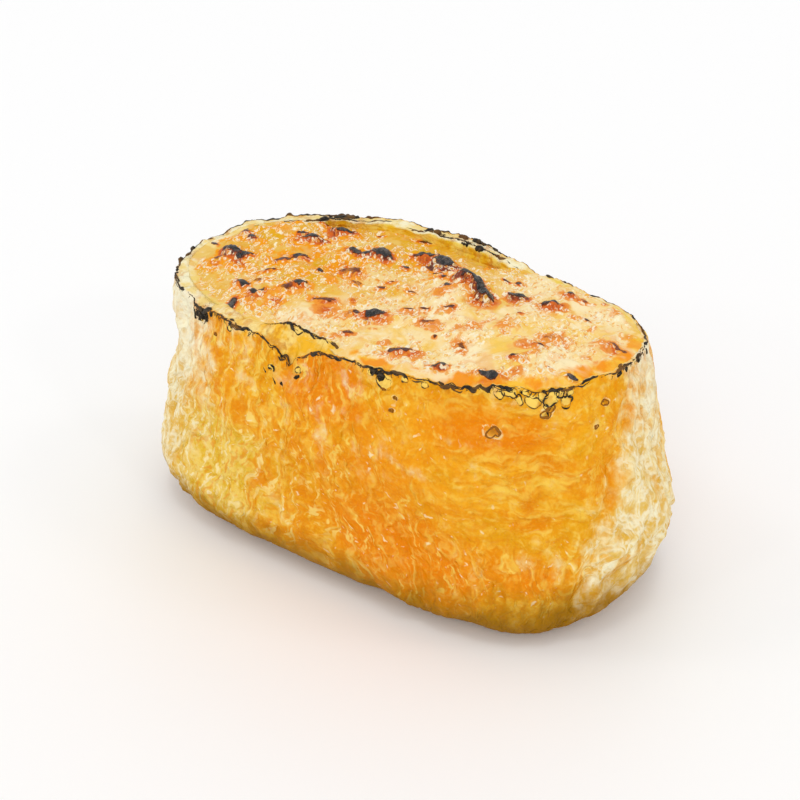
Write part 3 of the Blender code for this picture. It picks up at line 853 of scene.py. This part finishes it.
def build_cream(skin_angle, skin_top, lip):
    dense = np.linspace(-math.pi, math.pi, 4001)
    edge_inset = (EDGE_THICK - 0.30) * (1 - covered_share(dense)) + 0.35 * covered_share(dense)
    ex, ey, _, _ = outline(dense, np.full_like(dense, 0.95), edge_inset)
    polar = np.arctan2(ey, ex)
    order = np.argsort(polar)
    polar, reach, own_angle = polar[order], np.hypot(ex, ey)[order], dense[order]
    to_lip = np.interp(polar, np.arctan2(lip[:, 1], lip[:, 0]), np.hypot(lip[:, 0], lip[:, 1]), period=2 * math.pi)
    reach = np.minimum(reach, to_lip - 0.06)

    xs = np.arange(math.floor(ex.min()) - 1, ex.max() + 1, PITCH)
    ys = np.arange(math.floor(ey.min()) - 1, ey.max() + 1, PITCH)
    x, y = np.meshgrid(xs, ys)
    direction = np.arctan2(y, x)
    radius = np.interp(direction, polar, reach, period=2 * math.pi)
    share = np.hypot(x, y) / radius
    # Points just past the edge are drawn in onto it.
    kept = share < 1 - 0.35 * PITCH / radius
    beside = kept.copy()
    beside[1:, :] |= kept[:-1, :]
    beside[:-1, :] |= kept[1:, :]
    beside[:, 1:] |= kept[:, :-1]
    beside[:, :-1] |= kept[:, 1:]
    wider = beside.copy()
    wider[1:, :] |= beside[:-1, :]
    wider[:-1, :] |= beside[1:, :]
    snap = wider & ~kept
    factor = np.where(snap, 1 / np.maximum(share, 1e-6), 1.0)
    x, y = x * factor, y * factor
    share = np.where(snap, 1.0, share)
    edge_gap = (1 - share) * radius

    flat = np.stack([x, y, 0 * x], -1)
    wander = np.stack([fractal(flat * 0.22, 2, 101), fractal(flat * 0.22, 2, 102), 0 * x], -1)
    bent = flat + 1.8 * wander
    angle_here = np.interp(direction, polar, np.unwrap(own_angle))
    covered = covered_share(angle_here)
    left = near(angle_here, 180, 48)
    sunk = EDGE_DROP + 1.1 * near(angle_here, 84, 12) + 0.6 * near(angle_here, 112, 30) - (EDGE_DROP - 0.05) * np.maximum(covered, 0.7 * left)
    top = whole_rim(angle_here) - sunk
    centre = HEIGHT - 0.8 - EDGE_DROP * 0.7
    z = centre + (top - centre) * share**2 + DOME * (1 - share**2)
    brink = np.interp(angle_here, np.unwrap(skin_angle), skin_top, period=2 * math.pi) - 0.10
    at_edge = (whole_rim(angle_here) - sunk + 0.4) * (1 - covered) + brink * covered
    z += (at_edge - z) * np.exp(-((edge_gap / (0.6 + 0.5 * covered)) ** 1.3))
    for sx, sy, height, wide in SWELLS:
        z += height * np.exp(-((np.hypot(x - sx, y - sy) / wide) ** 2)) * step(edge_gap, 0.0, 3.0)
    calm = step(edge_gap, 0.2, 2.5)
    z += (0.34 * fractal(bent * 0.28, 3, 103) + 0.10 * fractal(bent * 0.9, 2, 104)) * calm

    toast = np.zeros_like(x)
    char = np.zeros_like(x)
    ragged = fractal(flat * 0.9, 3, 105)
    fine = fractal(flat * 2.2, 2, 106)
    for tx, ty, wide, amount in TOASTED:
        tx, ty = on_top(tx, ty)
        apart = np.hypot(x - tx, (y - ty) * 1.2) / wide
        toast = np.maximum(toast, amount * np.clip(1.15 - apart + 0.35 * ragged, 0, 1))
    toast += 0.09 * np.clip(-(x + 2) / 18, -1, 1) + 0.05 * np.clip(y / 10, -1, 1)
    lift = np.zeros_like(x)
    rng = np.random.default_rng(7)
    small = []
    for _ in range(70):
        a, r = rng.uniform(-math.pi, math.pi), math.sqrt(rng.uniform(0, 0.93))
        size = rng.uniform(0.25, 0.75) ** 1.3
        small.append((r * math.cos(a) * 27.0, r * math.sin(a) * 12.8, size * rng.uniform(1, 1.8), size,
                      rng.uniform(-60, 60), 0.5 * size, rng.uniform(-0.6, 0.45)))
    for bx, by, long, short, turn, height, black in BLISTERS + tuple(small):
        bx, by = on_top(bx, by)
        c, s = math.cos(math.radians(turn)), math.sin(math.radians(turn))
        u = ((x - bx) * c + (y - by) * s) / long
        v = (-(x - bx) * s + (y - by) * c) / short
        q = np.hypot(u, v) * (1 + 0.16 * ragged) + 0.04 * fine
        knob = step(1.25 - q, 0.0, 0.95)
        lift = np.maximum(lift, height * 0.85 * knob) + 0.10 * np.minimum(lift, height * 0.85 * knob)
        top = 1 - np.hypot(u, v - 0.25) * (1 + 0.25 * ragged) + 0.16 * fine
        slope = np.clip((1.80 - q) / 0.9, 0, 1)
        toast = np.maximum(toast, (0.45 + 0.50 * max(black, 0)) * slope)
        char = np.maximum(char, black * step(top, 0.05, 0.50))
    z += lift * calm

    # Froth: small domes over parts of the surface, thickest on toasted ground.
    froth_field = fractal(bent * 0.26, 2, 110) * 0.5 + 0.55 * np.clip(toast, 0, 0.7) - 0.9 * char
    froth = step(froth_field, -0.20, 0.30) * step(edge_gap, 0.6, 2.0)
    bubble = np.full_like(x, 2.0)
    dome_up = np.zeros_like(x)
    rows, columns = x.shape
    tries = rng.uniform(0, 1, (5000, 4))
    for a, b, c, d in tries:
        px, py = xs[0] + a * (xs[-1] - xs[0]), ys[0] + b * (ys[-1] - ys[0])
        i, j = int(b * (rows - 1)), int(a * (columns - 1))
        if not kept[i, j] or edge_gap[i, j] < 0.5 or c > froth[i, j] * 1.05 + 0.03:
            continue
        size = 0.22 + 0.34 * d**2.2
        reach_cells = int(size / PITCH * 1.5) + 2
        rows_part = slice(max(i - reach_cells, 0), i + reach_cells + 1)
        cols_part = slice(max(j - reach_cells, 0), j + reach_cells + 1)
        apart = np.hypot(x[rows_part, cols_part] - px, y[rows_part, cols_part] - py) / size
        closer = apart < bubble[rows_part, cols_part]
        bubble[rows_part, cols_part] = np.where(closer, apart, bubble[rows_part, cols_part])
        dome = size * np.sqrt(np.clip(1 - apart**2, 0, 1)) * 0.5
        dome_up[rows_part, cols_part] = np.maximum(dome_up[rows_part, cols_part], dome)
    z += dome_up * (1 - 0.8 * np.clip(char * 1.5, 0, 1))
    crust = np.clip(char, 0, 1)
    z += crust * 0.13 * fractal(flat * 1.3, 2, 111)

    # The mesh: the grid inside the edge, a skirt below it and a flat bottom.
    used = np.zeros_like(kept)
    quad = kept[:-1, :-1] | kept[1:, :-1] | kept[:-1, 1:] | kept[1:, 1:]
    for di in (0, 1):
        for dj in (0, 1):
            used[di:rows - 1 + di, dj:columns - 1 + dj] |= quad
    index = np.full(x.shape, -1)
    index[used] = np.arange(used.sum())
    here = np.argwhere(quad)
    faces = np.stack([index[here[:, 0], here[:, 1]], index[here[:, 0], here[:, 1] + 1],
                      index[here[:, 0] + 1, here[:, 1] + 1], index[here[:, 0] + 1, here[:, 1]]], -1)
    points = to_cad(np.stack([x[used], y[used], z[used]], -1))
    obj = mesh_from(
        "browned_cream", points, faces.tolist(),
        {"toast": toast[used], "char": char[used], "froth": froth[used], "bubble": bubble[used],
         "edge_gap": edge_gap[used], "near": glazed_share(angle_here)[used], "left": left[used],
         "warm": np.clip(0.42 - x / 42 + y / 34, 0, 1)[used]},
    )
    close_below(obj, 3.0)

    return obj


def close_below(obj, depth):
    """The open sheet made a closed solid: its border goes straight down, to a flat bottom."""
    bm = bmesh.new()
    bm.from_mesh(obj.data)
    bmesh.ops.remove_doubles(bm, verts=bm.verts, dist=0.01 * MM)
    border = [edge for edge in bm.edges if edge.is_boundary]
    made = bmesh.ops.extrude_edge_only(bm, edges=border)
    low = [item for item in made["geom"] if isinstance(item, bmesh.types.BMVert)]
    floor = min(vert.co.z for vert in low) - depth * MM
    for vert in low:
        vert.co = Vector((vert.co.x * SKIRT_LEAN, vert.co.y * SKIRT_LEAN, floor))
    bottom = [edge for edge in bm.edges if edge.is_boundary]
    bmesh.ops.edgeloop_fill(bm, edges=bottom)
    bmesh.ops.recalc_face_normals(bm, faces=bm.faces)
    for face in bm.faces:
        face.smooth = True
    bm.to_mesh(obj.data)
    bm.free()


def bubbles(look, vector, spacing, low, high, missing):
    """Domes and the painted highlight rings round them, for bubbles of different sizes and so many of them missing.
    """
    found = look.tree.nodes.new("ShaderNodeTexVoronoi")
    found.inputs["Scale"].default_value = 1 / spacing
    look.tree.links.new(vector, found.inputs["Vector"])
    parts = look.tree.nodes.new("ShaderNodeSeparateColor")
    look.tree.links.new(found.outputs["Color"], parts.inputs[0])
    radius = look.rise(parts.outputs[0], 0.0, 1.0, low / spacing, high / spacing)
    kept = look.rise(parts.outputs[1], missing, missing + 0.02)
    part = look.math("DIVIDE", found.outputs["Distance"], radius)
    left = look.math("SUBTRACT", 1.0, look.times(part, part))
    dome = look.times(look.math("MAXIMUM", left, 0.0), kept)
    # ring: a painted highlight round each bubble, just inside its edge.
    ring = look.rise(look.math("ABSOLUTE", look.math("SUBTRACT", part, 0.80)), 0.08, 0.28, 1.0, 0.0)
    return dome, look.times(ring, kept), parts.outputs[2]


def cream_look():
    look = Look("browned_cream")
    solid = look.scaled(look.node("ShaderNodeTexCoord", {}, out=3), (1000.0, 1000.0, 1000.0))
    bent = look.moved(solid, look.noise(solid, 0.22, 2.0, colour=True), 3.0)
    toast, char, froth = look.number("toast"), look.number("char"), look.number("froth")
    mottle = look.noise(bent, 0.42, 4.0, 0.6)
    fine = look.noise(bent, 1.5, 3.0, 0.6)
    patch = look.noise(bent, 0.13, 3.0, 0.6)

    def shifted(share, *waves):
        for wave, amount in waves:
            share = look.plus(share, look.times(look.math("SUBTRACT", wave, 0.5), amount))
        return share

    warm = look.rise(shifted(look.number("warm"), (patch, 0.8)), 0.05, 0.78)
    pale = look.mix(look.rise(mottle, 0.40, 0.58), look.mix(warm, rgb(0.90, 0.57, 0.13), rgb(0.77, 0.39, 0.025)),
                    look.mix(warm, rgb(0.93, 0.73, 0.37), rgb(0.81, 0.48, 0.075)))
    pale = look.mix(look.rise(patch, 0.48, 0.62, 0.0, 0.75), pale,
                    look.mix(warm, rgb(0.91, 0.60, 0.11), rgb(0.77, 0.42, 0.012)))
    pale = look.mix(look.rise(shifted(patch, (mottle, 0.6)), 0.50, 0.36, 0.0, 0.8), pale,
                    look.mix(warm, rgb(0.96, 0.84, 0.54), rgb(0.83, 0.56, 0.14)))
    rosy = look.rise(look.noise(bent, 0.34, 2.0), 0.54, 0.68, 0.0, 0.45)
    pale = look.mix(rosy, pale, rgb(0.86, 0.42, 0.15))

    # The bubbles let the orange under them show, and a painted highlight ring is drawn round each.
    jitter = look.moved(solid, look.noise(solid, 0.8, 1.0, colour=True), 0.8)
    big_dome, big_ring_highlight, big_tint = bubbles(look, jitter, 0.98, 0.26, 0.50, 0.35)
    small_dome, small_ring_highlight, small_tint = bubbles(look, jitter, 0.58, 0.17, 0.28, 0.22)
    burnt = shifted(char, (fine, 0.5))
    whole = look.rise(burnt, 0.10, 0.35, 1.0, 0.0)
    here = look.times(look.rise(shifted(froth, (mottle, 1.8)), -0.05, 0.34), whole)

    amount = shifted(toast, (mottle, 1.3), (fine, 0.6))
    toasted = look.mix(warm, rgb(0.83, 0.30, 0.055), rgb(0.89, 0.34, 0.008))
    colour = look.mix(look.rise(amount, 0.12, 0.40), pale, toasted)
    colour = look.mix(look.rise(amount, 0.48, 0.78), colour, rgb(0.66, 0.125, 0.006))
    colour = look.mix(look.rise(amount, 0.82, 1.10), colour, rgb(0.22, 0.036, 0.008))
    tinted = look.mix(look.rise(big_tint, 0.4, 0.6), rgb(0.90, 0.50, 0.06), rgb(0.88, 0.32, 0.015))
    colour = look.mix(look.times(look.rise(big_dome, 0.1, 0.5), look.times(here, 0.65)), colour, tinted)
    tinted = look.mix(look.rise(small_tint, 0.5, 0.7), rgb(0.92, 0.60, 0.14), rgb(0.86, 0.28, 0.015))
    colour = look.mix(look.times(look.rise(small_dome, 0.1, 0.5), look.times(here, 0.55)), colour, tinted)
    # Painted highlight rings round the bubbles.
    rings = look.math("MAXIMUM", big_ring_highlight, look.times(small_ring_highlight, 0.85))
    rings = look.times(rings, look.times(here, look.rise(fine, 0.36, 0.50)))
    colour = look.mix(look.times(rings, 0.90), colour, rgb(0.98, 0.90, 0.66))
    # Painted light and shade on the froth: one side of each small lump is painted bright, the other deeper orange.
    painted_light_and_shade = look.sides(jitter, 1.15, (0.16, 0.04, 0.0))
    shine = look.times(look.rise(painted_light_and_shade, 0.045, 0.13), look.times(here, 0.85))
    shade = look.times(look.rise(painted_light_and_shade, -0.035, -0.13), look.times(here, 0.75))
    colour = look.mix(shade, colour, rgb(0.84, 0.34, 0.035))
    colour = look.mix(shine, colour, rgb(0.98, 0.91, 0.68))

    # An orange glaze along the wall of the pouch.
    gap = shifted(look.number("edge_gap"), (mottle, 4.0))
    glaze = look.mix(look.rise(mottle, 0.40, 0.62), rgb(0.90, 0.29, 0.005), rgb(0.94, 0.53, 0.04))
    glaze = look.mix(look.number("near"), look.mix(look.number("left"), rgb(0.86, 0.60, 0.08),
                                                   look.mix(look.rise(mottle, 0.42, 0.58), rgb(0.89, 0.70, 0.28),
                                                            rgb(0.93, 0.84, 0.56))), glaze)
    gap = look.math("SUBTRACT", gap, look.times(look.number("near"), 0.7))
    pooled = look.rise(look.noise(bent, 0.30, 2.0), 0.43, 0.55, 0.15, 1.0)
    colour = look.mix(look.times(look.rise(gap, 0.5, 1.5, 0.95, 0.0), look.times(whole, pooled)), colour, glaze)

    colour = look.mix(look.rise(burnt, 0.12, 0.40), colour, rgb(0.12, 0.022, 0.007))
    black = look.mix(look.rise(fine, 0.46, 0.62), rgb(0.006, 0.005, 0.005), rgb(0.080, 0.064, 0.054))
    colour = look.mix(look.rise(burnt, 0.42, 0.62), colour, black)

    roughness = look.blend(look.rise(burnt, 0.2, 0.6), look.rise(mottle, 0.3, 0.7, 0.12, 0.26), 0.32)
    relief = look.plus(look.times(look.noise(bent, 0.5, 1.0, 0.4), 0.25),
                       look.times(look.noise(bent, 1.7, 1.0, 0.4), 0.09))
    lumpy = look.times(look.noise(solid, 2.6, 2.0, 0.6), look.rise(burnt, 0.15, 0.5, 0.0, 0.34))
    relief = look.plus(relief, lumpy)
    gloss = look.plus(look.rise(burnt, 0.15, 0.5, 0.0, 0.70), look.rise(amount, 0.30, 0.90, 0.08, 0.50), True)
    domes = look.plus(look.times(big_dome, 0.09), look.times(small_dome, 0.05))
    relief = look.plus(relief, look.times(domes, here))
    look.bump(relief, 1.0, 1.0)
    look.set(Base_Color=colour, Roughness=roughness, Coat_Weight=gloss, Coat_Roughness=0.08, Coat_IOR=1.5, IOR=1.38, Specular_IOR_Level=0.0)
    return look.material


# ---------------------------------------------------------------- the burnt edge's threads

# Which row of the skin lies how far over the edge: mm, below zero on the outside and above it inside.
OVER_EDGE = ((-7.4, 56), (-5.0, 62), (-0.25, 88), (0.02, 89), (0.25, 90), (0.45, 91), (0.7, 92), (0.9, 93),
             (1.1, 94), (1.3, 95), (1.5, 96), (1.7, 97), (2.15, 98), (2.35, 99))


def build_char(angle, skin, skin_top):
    """Thin burnt strands, hairs and rings of skin that lie on the edge. skin holds the rows of its points."""
    rng = np.random.default_rng(21)
    points, faces, browns = [], [], []
    turns = np.unwrap(angle)
    over, row_at = np.array(OVER_EDGE).T
    sides = 6
    mm_a_column = 0.19

    def on_skin(column, from_edge):
        row = np.interp(from_edge, over, row_at)
        r, c = np.floor(row).astype(int), np.floor(column).astype(int)
        fr, fc = (row - r)[:, None], (column - c)[:, None]
        low = skin[r, c % COLUMNS] * (1 - fc) + skin[r, (c + 1) % COLUMNS] * fc
        high = skin[r + 1, c % COLUMNS] * (1 - fc) + skin[r + 1, (c + 1) % COLUMNS] * fc
        return low * (1 - fr) + high * fr

    def tube(path, radii, brown=0.0):
        base = sum(len(part) for part in points)
        forward = np.gradient(path, axis=0)
        forward /= np.linalg.norm(forward, axis=1)[:, None] + 1e-9
        side = np.cross(forward, [0.31, 0.17, 0.93])
        side /= np.linalg.norm(side, axis=1)[:, None] + 1e-9
        up = np.cross(side, forward)
        turn = np.arange(sides) * 2 * math.pi / sides
        rings = path[:, None, :] + radii[:, None, None] * (
            np.cos(turn)[None, :, None] * side[:, None, :] + np.sin(turn)[None, :, None] * up[:, None, :]
        )
        points.append(rings.reshape(-1, 3))
        browns.append(np.full(len(points[-1]), brown))
        count = len(path)
        for k in range(count - 1):
            for m in range(sides):
                n = (m + 1) % sides
                faces.append((base + k * sides + m, base + k * sides + n,
                              base + (k + 1) * sides + n, base + (k + 1) * sides + m))
        faces.append(tuple(base + m for m in range(sides))[::-1])
        faces.append(tuple(base + (count - 1) * sides + m for m in range(sides)))

    def column_of(degrees):
        target = math.radians(degrees)
        target += 2 * math.pi * math.ceil((turns[0] - target) / (2 * math.pi))
        return float(np.interp(target, turns, np.arange(COLUMNS)))

    def strand(column, length, from_edge, thick, seed, wander=0.22):
        count = max(int(length / 0.13), 5)
        run = np.stack([np.arange(count) * 0.13, np.full(count, seed * 3.7), np.zeros(count)], -1)
        columns = column + np.arange(count) * 0.13 / mm_a_column
        place = from_edge + wander * fractal(run * 0.9, 2, seed)
        fade = np.sin(np.linspace(0, math.pi, count)) ** 0.35
        radii = thick * (0.85 + 0.75 * fractal(run * 1.7, 2, seed + 2)) * fade
        tube(on_skin(columns, place), np.clip(radii, 0.015, 0.4), 0.35 if seed % 5 == 0 else 0.0)

    def hair(column, top, length, slant, thick):
        part = np.linspace(0, 1, 7)
        columns = column + slant * length * part**1.6 / mm_a_column
        tube(on_skin(columns, -(top + length * part)), thick * (1 - 0.55 * part))

    def loop(column, below, radius, seed, brown=0.0):
        turn = np.linspace(0, 2 * math.pi, 26)
        run = np.stack([np.cos(turn) * 0.8, np.sin(turn) * 0.8, np.full(26, seed * 2.9)], -1)
        reach = radius * (1 + (0.55 - 0.30 * brown) * fractal(run, 2, seed))
        thick = np.clip(0.055 + 0.08 * fractal(run * 1.5, 2, seed + 1), 0.015, 0.13)
        columns = column + reach * np.cos(turn) / mm_a_column
        from_edge = -(below + reach * np.sin(turn) * (1 - 0.3 * brown))
        tube(on_skin(columns, np.minimum(from_edge, 0.3)), thick + 0.05 * brown, brown)

    # Strands that overlap along the edge, thickest where it is most burnt.
    ring_radius = 23.0
    seed = 300
    column = 0.0
    while column < COLUMNS:
        here = angle[int(column)]
        on_ring = np.array([[ring_radius * math.cos(here), ring_radius * math.sin(here), 0.0]])
        burn = float(burn_share(np.array([here]), on_ring)[0])
        crest = float(crest_share(np.array([here]))[0])
        covered = float(covered_share(np.array([here]))[0])
        if rng.uniform() < 0.35 + 0.75 * burn:
            strand(column, rng.uniform(0.8, 2.6), rng.uniform(-0.16, 0.24),
                   rng.uniform(0.03, 0.06 + 0.14 * burn), seed)
        if rng.uniform() < 1.1 * crest * (1 - covered):
            strand(column, rng.uniform(0.8, 2.4), 1.40 + rng.uniform(-0.15, 0.15), rng.uniform(0.04, 0.17),
                   seed + 3)
        seed += 6
        column += rng.uniform(1.5, 4.0)
    for degrees, length, from_edge, thick in CRUSTS:
        strand(column_of(degrees), length, from_edge, thick, seed, 0.10)
        seed += 3
    for start, end, count, length in HAIRS:
        for _ in range(count):
            hair(column_of(rng.uniform(start, end)), rng.uniform(-0.1, 0.25), length * rng.uniform(0.35, 1.0),
                 rng.uniform(-0.9, 0.9), rng.uniform(0.03, 0.075))
    for degrees, below, radius in EDGE_BUBBLES:
        loop(column_of(degrees), below, radius, seed)
        seed += 3
    for degrees, height, radius in POCKS:
        column = column_of(degrees)
        below = float(np.interp(column, np.arange(COLUMNS), skin_top)) - height
        if below < 7.0 - radius:
            loop(column, below, radius * 0.9, seed, 1.0)
            seed += 3
    return mesh_from("edge_char", np.concatenate(points), faces, {"brown": np.concatenate(browns)})


def char_look():
    look = Look("burnt_edge")
    coordinates = look.node("ShaderNodeTexCoord", {}, out=3)
    grain = look.noise(coordinates, 1500.0, 3.0, 0.6)
    patch = look.noise(coordinates, 350.0, 2.0, 0.5)
    colour = look.mix(look.rise(grain, 0.4, 0.65), rgb(0.014, 0.012, 0.009), rgb(0.065, 0.050, 0.032))
    colour = look.mix(look.rise(patch, 0.50, 0.66, 0.0, 0.8), colour, rgb(0.20, 0.095, 0.02))
    colour = look.mix(look.number("brown"), colour, rgb(0.30, 0.11, 0.008))
    look.set(Base_Color=colour, Roughness=look.rise(grain, 0.3, 0.7, 0.40, 0.65), Specular_IOR_Level=0.15)
    look.bump(grain, 0.5, 0.15)
    return look.material


# ---------------------------------------------------------------- build

skin, skin_angles, skin_top, skin_rows, lip = build_skin()
skin.data.materials.append(skin_look())
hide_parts("pouch")

cream = build_cream(skin_angles, skin_top, lip)
cream.data.materials.append(cream_look())
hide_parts("filling")

burnt_edge = build_char(skin_angles, skin_rows, skin_top)
burnt_edge.data.materials.append(char_look())

for piece, slot in ((skin, "fried_tofu"), (cream, "browned_cream"), (burnt_edge, "fried_tofu")):
    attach(piece, "root")
    print(piece.name, sum(len(face.vertices) - 2 for face in piece.data.polygons))

# ---------------------------------------------------------------- stage

floor_mesh = bpy.data.meshes.new("floor")
floor_mesh.from_pydata([(-3, -3, 0), (3, -3, 0), (3, 3, 0), (-3, 3, 0)], [], [(0, 1, 2, 3)])
floor = bpy.data.objects.new("floor", floor_mesh)
bpy.context.scene.collection.objects.link(floor)
floor_material = bpy.data.materials.new("floor")
floor_material.use_nodes = True
floor_material.node_tree.nodes["Principled BSDF"].inputs["Base Color"].default_value = rgb(0.96, 0.96, 0.96)
floor_material.node_tree.nodes["Principled BSDF"].inputs["Roughness"].default_value = 0.9
floor_mesh.materials.append(floor_material)

# The studio is a white tent, which its lamps fill with soft light.
world = bpy.data.worlds.new("studio")
world.use_nodes = True
background = world.node_tree.nodes["Background"]
background.inputs["Color"].default_value = rgb(1.0, 1.0, 1.0)
background.inputs["Strength"].default_value = 0.80
bpy.context.scene.world = world


def sun(name, azimuth, elevation, strength, spread, shines=False):
    """A soft light from a direction, as wide as spread in degrees. Only a light that shines is mirrored."""
    light = bpy.data.lights.new(name, "SUN")
    light.energy = strength
    light.angle = math.radians(spread)
    obj = bpy.data.objects.new(name, light)
    obj.visible_glossy = shines
    a, e = math.radians(azimuth), math.radians(elevation)
    back = Vector((math.sin(a) * math.cos(e), -math.cos(a) * math.cos(e), math.sin(e)))
    obj.location = back * 0.5
    obj.rotation_mode = "QUATERNION"
    obj.rotation_quaternion = back.to_track_quat("Z", "Y")
    bpy.context.scene.collection.objects.link(obj)


sun("key", 15, 36, 0.38, 22)
sun("back", 205, 42, 0.10, 24)
sun("left", -62, 48, 0.12, 12, True)
sun("right", 118, 48, 0.12, 12, True)
sun("over", 30, 78, 0.20, 10, True)
sun("spark_right", 75, 30, 0.10, 5, True)
sun("spark_left", -20, 26, 0.08, 5, True)

# ---------------------------------------------------------------- camera

AZIMUTH, ELEVATION, DISTANCE, FOCAL = 33.93, 31.54, 149.7, 1244.0
TARGET = (-2.15, 2.08, 15.0)
camera_data = bpy.data.cameras.new("camera")
camera_data.sensor_width = 36.0
camera_data.lens = FOCAL / 800 * 36.0
camera_data.clip_start, camera_data.clip_end = 0.01, 20.0
camera = bpy.data.objects.new("camera", camera_data)
a, e = math.radians(AZIMUTH), math.radians(ELEVATION)
back = Vector((math.sin(a) * math.cos(e), -math.cos(a) * math.cos(e), math.sin(e)))
camera.location = Vector(TARGET) * MM + back * DISTANCE * MM
camera.rotation_mode = "QUATERNION"
camera.rotation_quaternion = back.to_track_quat("Z", "Y")
bpy.context.scene.collection.objects.link(camera)
bpy.context.scene.camera = camera
bpy.context.scene.view_settings.view_transform = "Standard"
